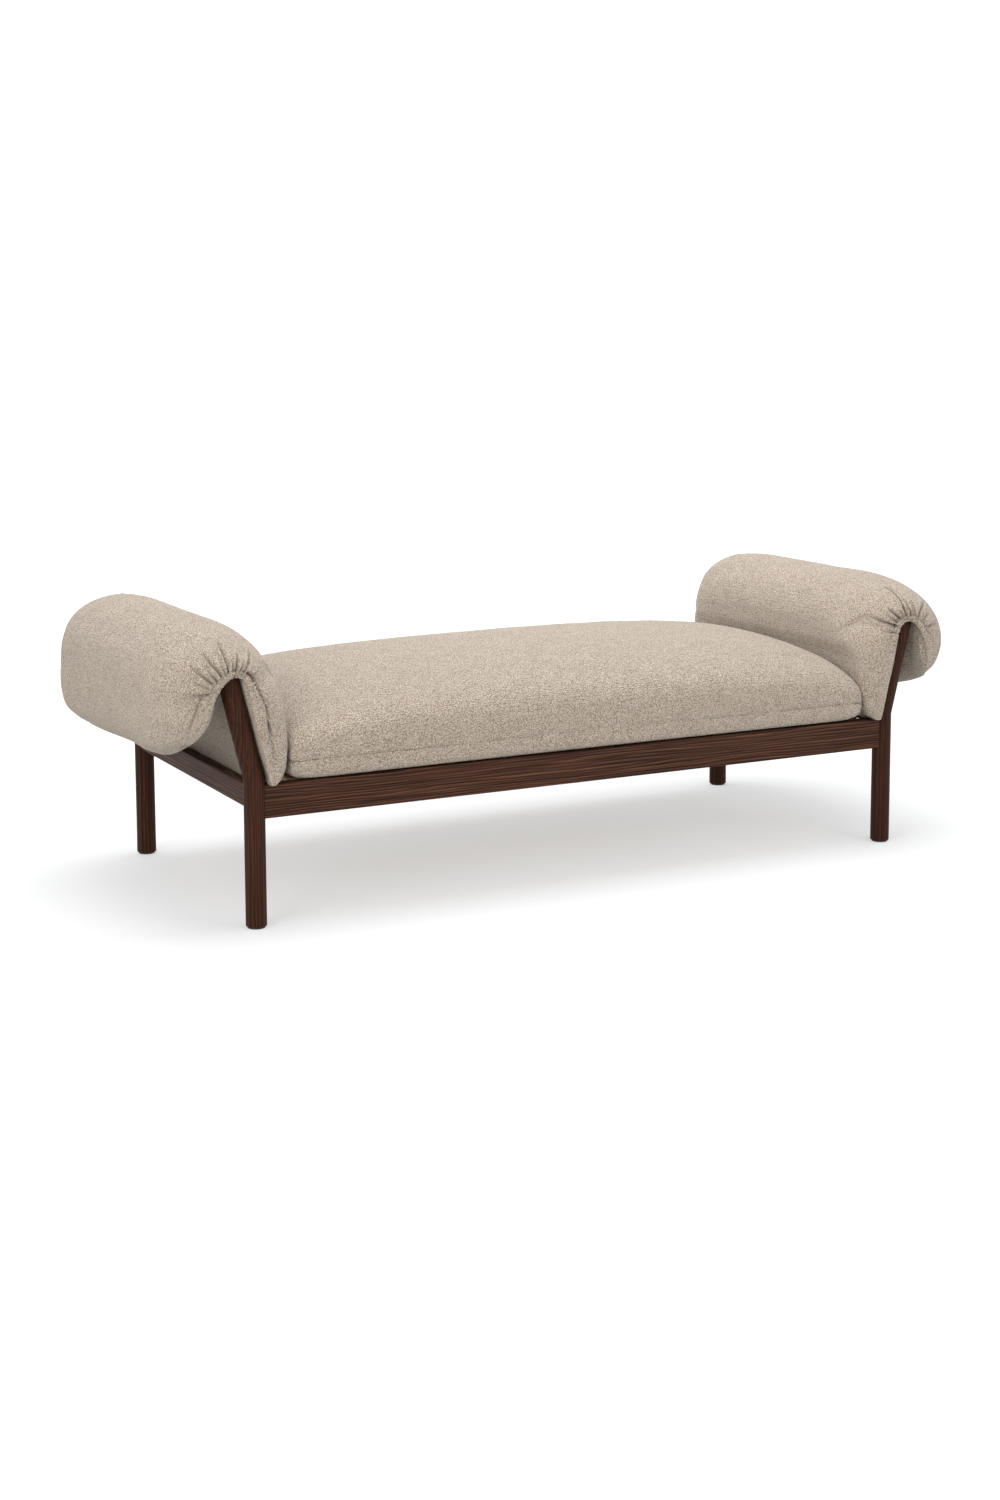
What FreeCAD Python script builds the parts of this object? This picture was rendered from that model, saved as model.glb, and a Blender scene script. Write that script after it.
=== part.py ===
import FreeCAD, Part
import math
import os

# Daybed: a low wooden bench frame with a loose seat cushion and two saddle bolsters.
# Millimetres. X is the length, the front faces -Y, +Z is up, z = 0 is the floor.
# Corner pieces are described at the right rear corner (+X, +Y) and mirrored to the others.

Vec = FreeCAD.Vector

# frame: round legs that kink outward above the rails
LEG_X = 810.0  # leg axis from the middle, along the length
LEG_Y = 362.5  # leg axis from the middle, across the depth
LEG_R = 22.5
LEG_EDGE = 2.0  # chamfer round the foot of a leg
KINK_Z = 318.0  # height of the mitre between leg and leaning post
LEAN = math.radians(14.0)
POST_LENGTH = 258.0  # along the leaning axis, from the mitre to the rounded top
POST_EDGE = 3.5
BAR_Z = 550.0  # crossbar axis
BAR_R = 16.0
TENON_R = 10.0
TENON_PAST = 7.5  # how far the tenon runs past the axis of the post
COPE_PLAY = 0.05  # gap left where a rail or bar is hollowed to fit a round post
FIT_PLAY = 0.05  # radial gap round dowels, screws and stems
BORE_SPARE = 0.5  # how much deeper a blind bore is than what sits in it
BEYOND = 200.0  # length of a cutting tool that runs out of the piece

# rails
RAIL_T = 28.0
RAIL_TOP = 306.0
SIDE_RAIL_H = 72.0
END_RAIL_H = 50.0
RAIL_EDGE = 3.0

# dowels
MITRE_DOWEL = (6.0, 44.0)  # radius, length
SIDE_DOWEL = (5.0, 50.0)
END_DOWEL = (4.0, 40.0)
DOWEL_TIP = 8.0  # from the leg axis to the near end of a rail dowel
SIDE_DOWEL_Z = (250.0, 288.0)
END_DOWEL_Z = (264.0, 288.0)

# corner joint: hanger bolt, bent plate, washer and nut
BOLT_R = 4.0
BOLT_Z = 276.0
BOLT_ROOM = 0.5  # radial gap where the bolt passes between two rails
BOLT_SPAN = (9.0, 62.0)  # distances from the leg axis along the inward diagonal
PLATE_T = 3.0
PLATE_H = 34.0
PLATE_CORNER = 52.0  # where the plate leaves a rail, from the leg axis
PLATE_END = 78.0
PLATE_HOLE_R = 4.3
WASHER = (12.0, 4.2, 2.0)  # outer radius, hole radius, thickness
NUT_FLATS = 13.0
NUT_H = 6.5
BRACKET_SCREW = (2.0, 18.0, 4.0, 2.5)  # shank radius, length, head radius, head height
BRACKET_SCREW_AT = 66.0
BRACKET_SCREW_Z = (267.0, 285.0)

# slats and the ledgers that carry them
SLAT_COUNT = 14
SLAT_PITCH = 106.8
SLAT_W = 60.0
SLAT_T = 16.0
SLAT_L = 693.0
SLAT_EDGE = 2.0
LEDGER_T = 20.0
LEDGER_H = 28.0
LEDGER_L = 1452.0
LEDGER_SCREW = (2.25, 35.0, 4.5)  # shank radius, length, head radius
LEDGER_SCREW_COUNT = 7
LEDGER_SCREW_PITCH = 2.0 * SLAT_PITCH
SLAT_SCREW = (2.0, 30.0, 4.0)
SLAT_SCREW_IN = 9.0  # from a ledger's inner edge to the screws

# foot glides
GLIDE_R = 19.0
GLIDE_T = 3.0
GLIDE_EDGE = 0.8
GLIDE_STEM = (4.0, 15.0)  # radius, length

# seat cushion: outlines in a cross section and a long section, crowned on top
SEAT_X = 735.5
SEAT_Y = 382.5
SEAT_BOTTOM = 306.3
SEAT_EDGE = 11.0
SEAT_CORNER = 62.0  # plan radius of the four corners
SEAT_COVER_T = 4.0
CROSS_CROWN = [
    (382.5, 418), (375, 442), (345, 463), (280, 485), (190, 503), (95, 514), (0, 517.5),
]
LONG_CROWN = [
    (735.5, 412), (726, 437), (690, 462), (600, 483), (440, 501), (220, 513), (0, 517.6),
]
FOAM_X = 690.0
FOAM_Y = 340.0
FOAM_Z = (322.0, 422.0)
FOAM_EDGE = 18.0
LAYER_GAP = 0.5  # gap between the layers inside a cushion

# zip along the back of the seat cover
ZIP_HALF = 450.0
ZIP_Z = 330.0
ZIP_TAPE = (24.0, 2.0)  # height, thickness
ZIP_TEETH = (5.0, 1.0)
SLIDER = (14.0, 10.0, 2.6)  # along the zip, height, thickness
PULL = (5.0, 24.0, 1.4)
PULL_ROUND = 2.0
SLIDER_GAP = 0.2  # between the slider and the teeth
SLIDER_AT = 436.0

# bolster: a pad folded over the crossbar, thin flap inside, fat lobe outside
BOLSTER_Y = 402.5
BOLSTER_FULL_Y = 330.0  # the section is full between these two stations
BOLSTER_SHOULDER_Y = 385.0
COVER_T = 4.0
FLAP_GAP = 1.0  # between the flap and the posts
SLOT_TOP = 578.0
SLOT_ROUND = 5.0  # the slot's upper corners are cut off by this much
SLOT_END_Y = 385.6
SLOT_FLOOR = 280.0  # the slot is cut from below the bolster's lowest point
HEM_ARCH_R = 36.0
HEM_ARCH_TOP = 528.0
HEM_ARCH_STEPS = 12
ARCH_REACH = 8.0  # the arch is cut this far past both faces of the end wall
CORD_R = 1.5
CORD_ROOM = 0.3  # gap round a cord

# outline of a full section: distance outward from the leg axis, height
FULL_SECTION = [
    (-42, 306.8), (-60, 312), (-71, 340), (-73, 400), (-73, 470), (-71, 520), (-60, 565),
    (-34, 605), (8, 630), (55, 640), (105, 634), (150, 612), (182, 572), (196, 520),
    (198, 462), (192, 408), (178, 368), (148, 346), (112, 349), (60, 342), (-10, 318),
]
END_SECTION = [
    (-36, 326), (-48, 332), (-56, 360), (-58, 410), (-58, 470), (-55, 515), (-43, 552),
    (-20, 585), (14, 606), (55, 614), (98, 608), (136, 588), (160, 556), (171, 512),
    (171, 466), (165, 430), (152, 402), (132, 390), (110, 392), (60, 380), (-6, 344),
]

# inner wall of the lobe, from the top of the slot down to the lobe's lower edge
LOBE_WALL = [(89, 570), (89, 480), (98, 425), (108, 380), (122, 358), (140, 346), (150, 280)]

UP = Vec(0, 0, 1)
RIGHT = Vec(1, 0, 0)
BACK = Vec(0, 1, 0)
ORIGIN = Vec(0, 0, 0)
LEAN_DIR = Vec(math.sin(LEAN), 0, math.cos(LEAN))
MITRE_DIR = Vec(math.sin(LEAN / 2), 0, math.cos(LEAN / 2))
INWARD = Vec(-1, -1, 0) * (1 / math.sqrt(2))
KINK = Vec(LEG_X, LEG_Y, KINK_Z)
BAR_X = LEG_X + (BAR_Z - KINK_Z) * math.tan(LEAN)
SIDES = {"left": -1, "right": 1}
ENDS = {"front": -1, "back": 1}


def box(x_span, y_span, z_span):
    """A block between two values on each axis."""
    size = [span[1] - span[0] for span in (x_span, y_span, z_span)]
    return Part.makeBox(*size, Vec(x_span[0], y_span[0], z_span[0]))


def rod(start, direction, length, radius):
    """A plain cylinder."""
    return Part.makeCylinder(radius, length, start, direction)


def mirrored(shape, side, end):
    """A right rear corner piece as it is at another corner."""
    if side < 0:
        shape = shape.mirror(ORIGIN, RIGHT)
    if end < 0:
        shape = shape.mirror(ORIGIN, BACK)
    return shape


def all_corners(shape):
    """The four mirrored copies of a right rear corner piece."""
    return [mirrored(shape, side, end) for side in (-1, 1) for end in (-1, 1)]


def rounded_along(shape, axis, radius):
    """Round the edges of a block that run along one axis."""
    edges = []
    for edge in shape.Edges:
        run = edge.Vertexes[1].Point - edge.Vertexes[0].Point
        if run.cross(axis).Length < 1e-6:
            edges.append(edge)
    return shape.makeFillet(radius, edges)


# ---- fasteners ----


def mitre_dowel(play=0.0):
    """The dowel that pins a leaning post to its leg, square to the mitre."""
    radius, length = MITRE_DOWEL
    start = KINK - MITRE_DIR * (length / 2 + play)
    return rod(start, MITRE_DIR, length + 2 * play, radius + play)


def side_dowels(play=0.0):
    """The dowels from a leg into the end of a side rail."""
    radius, length = SIDE_DOWEL
    dowels = []
    for z in SIDE_DOWEL_Z:
        start = Vec(LEG_X - DOWEL_TIP + play, LEG_Y, z)
        dowels.append(rod(start, -RIGHT, length + 2 * play, radius + play))
    return dowels


def end_dowels(play=0.0):
    """The dowels from a leg into the end of an end rail."""
    radius, length = END_DOWEL
    dowels = []
    for z in END_DOWEL_Z:
        start = Vec(LEG_X, LEG_Y - DOWEL_TIP + play, z)
        dowels.append(rod(start, -BACK, length + 2 * play, radius + play))
    return dowels


def along_diagonal(distance):
    """A point on the hanger bolt's axis, by its distance from the leg axis."""
    return Vec(LEG_X, LEG_Y, BOLT_Z) + INWARD * distance


def hanger_bolt(play=0.0):
    """The bolt screwed into the leg that draws the corner together."""
    near, far = BOLT_SPAN
    return rod(along_diagonal(near - play), INWARD, far - near + 2 * play, BOLT_R + play)


def plate_face():
    """Distance from the leg axis to the inner face of the corner plate."""
    return (PLATE_CORNER + RAIL_T / 2) / math.sqrt(2) + PLATE_T


def bracket_washer():
    """The wide washer under the nut."""
    outer, hole, thickness = WASHER
    start = along_diagonal(plate_face())
    return rod(start, INWARD, thickness, outer).cut(rod(start, INWARD, thickness, hole))


def bracket_nut():
    """The hexagon nut on the hanger bolt."""
    start = along_diagonal(plate_face() + WASHER[2])
    across = NUT_FLATS / math.sqrt(3)
    side = Vec(INWARD.y, -INWARD.x, 0)
    corners = []
    for i in range(7):
        turn = math.radians(60 * i)
        corners.append(start + side * (across * math.cos(turn)) + UP * (across * math.sin(turn)))
    hexagon = Part.Face(Part.makePolygon(corners)).extrude(INWARD * NUT_H)
    return hexagon.cut(rod(start, INWARD, NUT_H, BOLT_R + FIT_PLAY))


def pan_screw(seat, direction, sizes, play=0.0):
    """A screw whose head stands on the surface at the seat."""
    shank, length, head, head_h = sizes
    body = rod(seat, direction, length + play, shank + play)
    return body.fuse(rod(seat - direction * head_h, direction, head_h, head))


def flat_screw(seat, direction, sizes, play=0.0):
    """A countersunk screw, flush with the surface at the seat."""
    shank, length, head = sizes
    depth = head - shank
    cone = Part.makeCone(head + play, shank + play, depth, seat, direction)
    return cone.fuse(rod(seat, direction, length + play, shank + play))


def bracket_screw_list(play=0.0):
    """The screws of one corner plate, two into each rail."""
    near = RAIL_T / 2 + PLATE_T
    screws = []
    for z in BRACKET_SCREW_Z:
        side_seat = Vec(LEG_X - BRACKET_SCREW_AT, LEG_Y - near, z)
        end_seat = Vec(LEG_X - near, LEG_Y - BRACKET_SCREW_AT, z)
        screws.append(pan_screw(side_seat, BACK, BRACKET_SCREW, play))
        screws.append(pan_screw(end_seat, RIGHT, BRACKET_SCREW, play))
    return screws


def ledger_screw_list(play=0.0):
    """The screws that hold the back ledger to the back rail."""
    first = -LEDGER_SCREW_PITCH * (LEDGER_SCREW_COUNT - 1) / 2
    face = LEG_Y - RAIL_T / 2 - LEDGER_T
    screws = []
    for i in range(LEDGER_SCREW_COUNT):
        seat = Vec(first + i * LEDGER_SCREW_PITCH, face, BOLT_Z)
        screws.append(flat_screw(seat, BACK, LEDGER_SCREW, play))
    return screws


def slat_centre(i):
    """Where a slat lies along the length."""
    return SLAT_PITCH * (i - (SLAT_COUNT - 1) / 2)


def slat_screw(i, end, play=0.0):
    """The screw through one end of a slat into the ledger."""
    y = LEG_Y - RAIL_T / 2 - LEDGER_T + SLAT_SCREW_IN
    return flat_screw(Vec(slat_centre(i), end * y, RAIL_TOP), -UP, SLAT_SCREW, play)


# ---- frame ----


def glide():
    """The hard plastic foot under a leg, with its stem."""
    radius, length = GLIDE_STEM
    disc = rod(Vec(LEG_X, LEG_Y, 0), UP, GLIDE_T, GLIDE_R)
    low_edge = [edge for edge in disc.Edges if edge.BoundBox.ZMax < GLIDE_EDGE]
    disc = disc.makeFillet(GLIDE_EDGE, low_edge)
    return disc.fuse(rod(Vec(LEG_X, LEG_Y, GLIDE_T), UP, length, radius))


def leg():
    """An upright round leg, cut off at the slant of the mitre."""
    foot = Vec(LEG_X, LEG_Y, GLIDE_T)
    shaft = rod(foot + UP * LEG_EDGE, UP, KINK_Z, LEG_R)
    body = shaft.fuse(Part.makeCone(LEG_R - LEG_EDGE, LEG_R, LEG_EDGE, foot, UP))
    body = body.cut(rod(KINK, MITRE_DIR, BEYOND, BEYOND))
    stem_r, stem_l = GLIDE_STEM
    tools = [mitre_dowel(FIT_PLAY), hanger_bolt(FIT_PLAY)]
    tools.append(rod(foot, UP, stem_l + BORE_SPARE, stem_r + FIT_PLAY))
    tools += side_dowels(FIT_PLAY) + end_dowels(FIT_PLAY)
    return body.cut(tools).removeSplitter()


def post_blank(extra=0.0):
    """The leaning post as a plain round bar that starts below the mitre."""
    low = KINK - LEAN_DIR * LEG_R
    straight = POST_LENGTH - POST_EDGE
    shaft = rod(low, LEAN_DIR, LEG_R + straight, LEG_R + extra)
    top = KINK + LEAN_DIR * straight
    cone = Part.makeCone(LEG_R + extra, LEG_R + extra - POST_EDGE, POST_EDGE, top, LEAN_DIR)
    return shaft.fuse(cone)


def post():
    """A leaning post, mitred at the foot and bored for the crossbar's tenon."""
    body = post_blank().cut(rod(KINK, -MITRE_DIR, BEYOND, BEYOND))
    bore_end = LEG_Y + TENON_PAST + BORE_SPARE
    bore = rod(Vec(BAR_X, bore_end, BAR_Z), -BACK, BEYOND, TENON_R + FIT_PLAY)
    return body.cut([mitre_dowel(FIT_PLAY), bore]).removeSplitter()


def crossbar():
    """The round bar between two leaning posts, with a tenon at each end."""
    bar = rod(Vec(BAR_X, -LEG_Y, BAR_Z), BACK, 2 * LEG_Y, BAR_R)
    hollow = post_blank(COPE_PLAY)
    bar = bar.cut([hollow, mirrored(hollow, 1, -1)])
    reach = LEG_Y + TENON_PAST
    return bar.fuse(rod(Vec(BAR_X, -reach, BAR_Z), BACK, 2 * reach, TENON_R)).removeSplitter()


def leg_space():
    """The room a leg takes out of the end of a rail."""
    return rod(Vec(LEG_X, LEG_Y, BEYOND), UP, BEYOND, LEG_R + COPE_PLAY)


def side_rail():
    """The deep rail along the back, hollowed at each end to fit the round legs."""
    low = RAIL_TOP - SIDE_RAIL_H
    faces = (LEG_Y - RAIL_T / 2, LEG_Y + RAIL_T / 2)
    rail = rounded_along(box((-LEG_X, LEG_X), faces, (low, RAIL_TOP)), RIGHT, RAIL_EDGE)
    tools = [leg_space(), hanger_bolt(BOLT_ROOM)]
    tools += side_dowels(FIT_PLAY) + bracket_screw_list(FIT_PLAY)
    tools += [mirrored(tool, -1, 1) for tool in tools]
    return rail.cut(tools + ledger_screw_list(FIT_PLAY))


def end_rail():
    """The shallow rail across the right end."""
    low = RAIL_TOP - END_RAIL_H
    faces = (LEG_X - RAIL_T / 2, LEG_X + RAIL_T / 2)
    rail = rounded_along(box(faces, (-LEG_Y, LEG_Y), (low, RAIL_TOP)), BACK, RAIL_EDGE)
    tools = [leg_space(), hanger_bolt(BOLT_ROOM)]
    tools += end_dowels(FIT_PLAY) + bracket_screw_list(FIT_PLAY)
    tools += [mirrored(tool, 1, -1) for tool in tools]
    return rail.cut(tools)


def bracket():
    """The bent steel plate across the inside of a corner."""
    face = RAIL_T / 2
    inner = face + PLATE_T
    bend = PLATE_CORNER + PLATE_T * math.tan(math.radians(22.5))
    half = [(PLATE_END, face), (PLATE_CORNER, face)]
    inner_half = [(bend, inner), (PLATE_END, inner)]
    outline = half + [(v, u) for u, v in reversed(half)]
    outline += [(v, u) for u, v in reversed(inner_half)] + inner_half
    low = BOLT_Z - PLATE_H / 2
    points = [Vec(LEG_X - u, LEG_Y - v, low) for u, v in outline]
    plate = Part.Face(Part.makePolygon(points + points[:1])).extrude(UP * PLATE_H)
    hole = rod(along_diagonal(LEG_R), INWARD, BEYOND, PLATE_HOLE_R)
    return plate.cut([hole] + bracket_screw_list(FIT_PLAY))


def ledger():
    """The strip along the inside of the back rail that the slats lie on."""
    face = LEG_Y - RAIL_T / 2
    top = RAIL_TOP - SLAT_T
    half = LEDGER_L / 2
    strip = box((-half, half), (face - LEDGER_T, face), (top - LEDGER_H, top))
    tools = ledger_screw_list(FIT_PLAY)
    tools += [slat_screw(i, 1, FIT_PLAY) for i in range(SLAT_COUNT)]
    return strip.cut(tools)


def slat(i):
    """One slat, screwed down at both ends."""
    x = slat_centre(i)
    x_span = (x - SLAT_W / 2, x + SLAT_W / 2)
    board = box(x_span, (-SLAT_L / 2, SLAT_L / 2), (RAIL_TOP - SLAT_T, RAIL_TOP))
    board = rounded_along(board, BACK, SLAT_EDGE)
    return board.cut([slat_screw(i, -1, FIT_PLAY), slat_screw(i, 1, FIT_PLAY)])


# ---- seat cushion ----


def crowned_face(half, crown, plane):
    """A section of the seat: flat below with rounded corners, crowned on top."""
    low = SEAT_BOTTOM
    side_low = low + SEAT_EDGE
    turn = SEAT_EDGE * (1 - math.sqrt(0.5))
    mirror_crown = [(-u, z) for u, z in reversed(crown[:-1])]
    curve = Part.BSplineCurve()
    curve.interpolate([plane(u, z) for u, z in crown + mirror_crown])
    edges = [
        Part.LineSegment(plane(-half + SEAT_EDGE, low), plane(half - SEAT_EDGE, low)),
        Part.Arc(plane(half - SEAT_EDGE, low), plane(half - turn, low + turn), plane(half, side_low)),
        Part.LineSegment(plane(half, side_low), plane(*crown[0])),
        curve,
        Part.LineSegment(plane(-half, crown[0][1]), plane(-half, side_low)),
        Part.Arc(plane(-half, side_low), plane(-half + turn, low + turn), plane(-half + SEAT_EDGE, low)),
    ]
    return Part.Face(Part.Wire([edge.toShape() for edge in edges]))


def seat_solid():
    """The whole seat cushion: two crowned sections crossed, with rounded plan corners."""
    cross = crowned_face(SEAT_Y, CROSS_CROWN, lambda u, z: Vec(-SEAT_X, u, z))
    along = crowned_face(SEAT_X, LONG_CROWN, lambda u, z: Vec(u, -SEAT_Y, z))
    height = (SEAT_BOTTOM, SEAT_BOTTOM + 2 * BEYOND)
    plan = box((-SEAT_X, SEAT_X), (-SEAT_Y, SEAT_Y), height)
    plan = rounded_along(plan, UP, SEAT_CORNER)
    body = cross.extrude(RIGHT * (2 * SEAT_X))
    return body.common(along.extrude(BACK * (2 * SEAT_Y))).common(plan)


def shrunk(shape, wall):
    """The shape drawn in by a wall on every side of its bounding box."""
    bounds = shape.BoundBox
    middle = bounds.Center
    sizes = (bounds.XLength, bounds.YLength, bounds.ZLength)
    grow = FreeCAD.Matrix()
    for axis, size in enumerate(sizes):
        factor = (size - 2 * wall) / size
        setattr(grow, ("A11", "A22", "A33")[axis], factor)
        setattr(grow, ("A14", "A24", "A34")[axis], middle[axis] * (1 - factor))
    return shape.transformGeometry(grow)


def foam_block(extra=0.0):
    """The firm slab in the middle of the seat."""
    x, y = FOAM_X + extra, FOAM_Y + extra
    low, high = FOAM_Z
    block = box((-x, x), (-y, y), (low - extra, high + extra))
    return rounded_along(block, UP, FOAM_EDGE)


def zip_tape(play=0.0):
    """The strip of tape sewn into the back of the seat cover."""
    height, thickness = ZIP_TAPE
    reach = ZIP_HALF + play
    y_span = (SEAT_Y - thickness - play, SEAT_Y + play)
    z_half = height / 2 + play
    return box((-reach, reach), y_span, (ZIP_Z - z_half, ZIP_Z + z_half))


def seat_zip():
    """The tape with its raised row of teeth."""
    height, proud = ZIP_TEETH
    z_span = (ZIP_Z - height / 2, ZIP_Z + height / 2)
    teeth = box((-ZIP_HALF, ZIP_HALF), (SEAT_Y - proud, SEAT_Y + proud), z_span)
    return zip_tape().fuse(teeth).removeSplitter()


def zip_slider():
    """The slider that runs along the teeth, with its pull hanging down."""
    length, height, thickness = SLIDER
    face = SEAT_Y + ZIP_TEETH[1] + SLIDER_GAP
    x_span = (SLIDER_AT - length / 2, SLIDER_AT + length / 2)
    body = box(x_span, (face, face + thickness), (ZIP_Z - height / 2, ZIP_Z + height / 2))
    width, drop, thin = PULL
    pull_x = (SLIDER_AT - width / 2, SLIDER_AT + width / 2)
    pull_y = (face + thickness, face + thickness + thin)
    pull = box(pull_x, pull_y, (ZIP_Z - drop, ZIP_Z + PULL_ROUND))
    return body.fuse(rounded_along(pull, BACK, PULL_ROUND))


# ---- bolsters ----


def section_wire(points, y):
    """A closed smooth outline across the bolster at one station along its length."""
    curve = Part.BSplineCurve()
    curve.interpolate([Vec(LEG_X + u, y, z) for u, z in points], PeriodicFlag=True)
    return Part.Wire(curve.toShape())


def blended_section(share):
    """An outline part way from the full section (0) to the end section (1)."""
    pairs = zip(FULL_SECTION, END_SECTION)
    return [(a[0] + share * (b[0] - a[0]), a[1] + share * (b[1] - a[1])) for a, b in pairs]


def bolster_hull():
    """The bolster without its slot: full in the middle, drawn in towards both ends."""
    stations = [
        (-BOLSTER_Y, 1.0), (-BOLSTER_SHOULDER_Y, 0.36), (-BOLSTER_FULL_Y, 0.0),
        (BOLSTER_FULL_Y, 0.0), (BOLSTER_SHOULDER_Y, 0.36), (BOLSTER_Y, 1.0),
    ]
    wires = [section_wire(blended_section(share), y) for y, share in stations]
    return Part.makeLoft(wires, True, True)


def flap_face(z):
    """The outer face of the flap, which follows the leaning posts."""
    return (z - KINK_Z) * math.tan(LEAN) - LEG_R / math.cos(LEAN) - FLAP_GAP


def grown_prism(outline, y_span, wall):
    """A prism across the bolster, its outline grown by a wall on every side."""
    points = [Vec(LEG_X + u, y_span[0] - wall, z) for u, z in outline]
    face = Part.Face(Part.makePolygon(points + points[:1]))
    if wall > 0:
        face = face.makeOffset2D(wall)
    return face.extrude(BACK * (y_span[1] - y_span[0] + 2 * wall))


def slot_space(wall=0.0):
    """The slot that drops over the posts and the crossbar, open below."""
    shoulder = SLOT_TOP - SLOT_ROUND
    inner = flap_face(shoulder)
    flap_side = [(flap_face(SLOT_FLOOR), SLOT_FLOOR), (inner, shoulder)]
    top = [(inner + SLOT_ROUND, SLOT_TOP), (LOBE_WALL[0][0] - SLOT_ROUND, SLOT_TOP)]
    return grown_prism(flap_side + top + LOBE_WALL, (-SLOT_END_Y, SLOT_END_Y), wall)


def arch_path():
    """The hem's arch in front of a post top: two slanting sides and a half circle."""
    centre_z = HEM_ARCH_TOP - HEM_ARCH_R
    points = []
    for i in range(HEM_ARCH_STEPS + 1):
        turn = math.pi * (1 - i / HEM_ARCH_STEPS)
        z = centre_z + HEM_ARCH_R * math.sin(turn)
        middle = (centre_z - KINK_Z) * math.tan(LEAN)
        points.append((middle + HEM_ARCH_R * math.cos(turn), z))
    return points


def arch_space(wall=0.0):
    """The arched opening in the rear end wall of the bolster."""
    outline = [(flap_face(SLOT_FLOOR), SLOT_FLOOR)] + arch_path() + LOBE_WALL[3:]
    return grown_prism(outline, (SLOT_END_Y - ARCH_REACH, BOLSTER_Y + ARCH_REACH), wall)


def bolster_solid(wall=0.0):
    """The bolster with slot and end arches, drawn in by a wall on every side."""
    hull = bolster_hull()
    if wall > 0:
        hull = shrunk(hull, wall)
    arch = arch_space(wall)
    return hull.cut([slot_space(wall), arch, mirrored(arch, 1, -1)])


def drawcord(radius=CORD_R):
    """The elastic cord in the hem round the rear arch."""
    away = COVER_T + CORD_R + CORD_ROOM
    centre_z = HEM_ARCH_TOP - HEM_ARCH_R
    middle = LEG_X + (centre_z - KINK_Z) * math.tan(LEAN)
    y = (SLOT_END_Y + BOLSTER_Y) / 2
    reach = HEM_ARCH_R + away
    left, right = Vec(middle - reach, y, centre_z), Vec(middle + reach, y, centre_z)
    arc = Part.Arc(left, Vec(middle, y, centre_z + reach), right).toShape()
    profile = Part.Wire(Part.makeCircle(radius, left, UP))
    return Part.Wire(arc).makePipeShell([profile], True, True)


def bolster_parts():
    """Cover, fill and hem cords of the right bolster."""
    cover = bolster_solid().cut(bolster_solid(COVER_T))
    cords = [drawcord(), mirrored(drawcord(), 1, -1)]
    tunnel = drawcord(CORD_R + CORD_ROOM)
    fill = bolster_solid(COVER_T + LAYER_GAP).cut([tunnel, mirrored(tunnel, 1, -1)])
    return {"bolster_cover": cover, "bolster_fill": fill, "bolster_drawcord": Part.makeCompound(cords)}


# ---- write every sub-part ----


def export(name, shape):
    """Write one sub-part; the file name is its name in the record."""
    shape.exportStep("parts/" + name + ".step")


def export_corners():
    """The pieces repeated at the four corners."""
    pieces = {"leg": leg(), "post": post(), "foot_glide": glide(), "corner_bracket": bracket()}
    for name, shape in pieces.items():
        for end_name, end in ENDS.items():
            for side_name, side in SIDES.items():
                export(name + "_" + end_name + "_" + side_name, mirrored(shape, side, end))


def export_frame():
    """Rails, bars, ledgers and slats."""
    rail, strip = side_rail(), ledger()
    for name, end in ENDS.items():
        export("side_rail_" + name, mirrored(rail, 1, end))
        export("ledger_" + name, mirrored(strip, 1, end))
    bar, cross_rail = crossbar(), end_rail()
    for name, side in SIDES.items():
        export("crossbar_" + name, mirrored(bar, side, 1))
        export("end_rail_" + name, mirrored(cross_rail, side, 1))
    for i in range(SLAT_COUNT):
        export("slat_%02d" % (i + 1), slat(i))


def export_fasteners():
    """Groups of identical dowels, screws, bolts, washers and nuts."""
    corner_groups = {
        "mitre_dowels": [mitre_dowel()],
        "side_rail_dowels": side_dowels(),
        "end_rail_dowels": end_dowels(),
        "hanger_bolts": [hanger_bolt()],
        "bracket_washers": [bracket_washer()],
        "bracket_nuts": [bracket_nut()],
        "bracket_screws": bracket_screw_list(),
    }
    for name, shapes in corner_groups.items():
        copies = [copy for shape in shapes for copy in all_corners(shape)]
        export(name, Part.makeCompound(copies))
    rear = ledger_screw_list()
    export("ledger_screws", Part.makeCompound(rear + [mirrored(s, 1, -1) for s in rear]))
    screws = [slat_screw(i, end) for i in range(SLAT_COUNT) for end in (-1, 1)]
    export("slat_screws", Part.makeCompound(screws))


def export_cushions():
    """The seat cushion with its layers and zip, and the two bolsters."""
    seat = seat_solid()
    export("seat_cover", seat.cut([shrunk(seat, SEAT_COVER_T), zip_tape(FIT_PLAY)]))
    wrap = shrunk(seat, SEAT_COVER_T + LAYER_GAP).cut(foam_block(LAYER_GAP))
    export("seat_fibre_wrap", wrap)
    export("seat_foam_core", foam_block())
    export("seat_zip", seat_zip())
    export("zip_slider", zip_slider())
    for name, shape in bolster_parts().items():
        for side_name, side in SIDES.items():
            export(name + "_" + side_name, mirrored(shape, side, 1))


os.makedirs("parts", exist_ok=True)
export_corners()
export_frame()
export_fasteners()
export_cushions()
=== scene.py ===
"""Looks of the daybed: fabric cushions, stained wood, floor, light and camera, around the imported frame."""

import math

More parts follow.
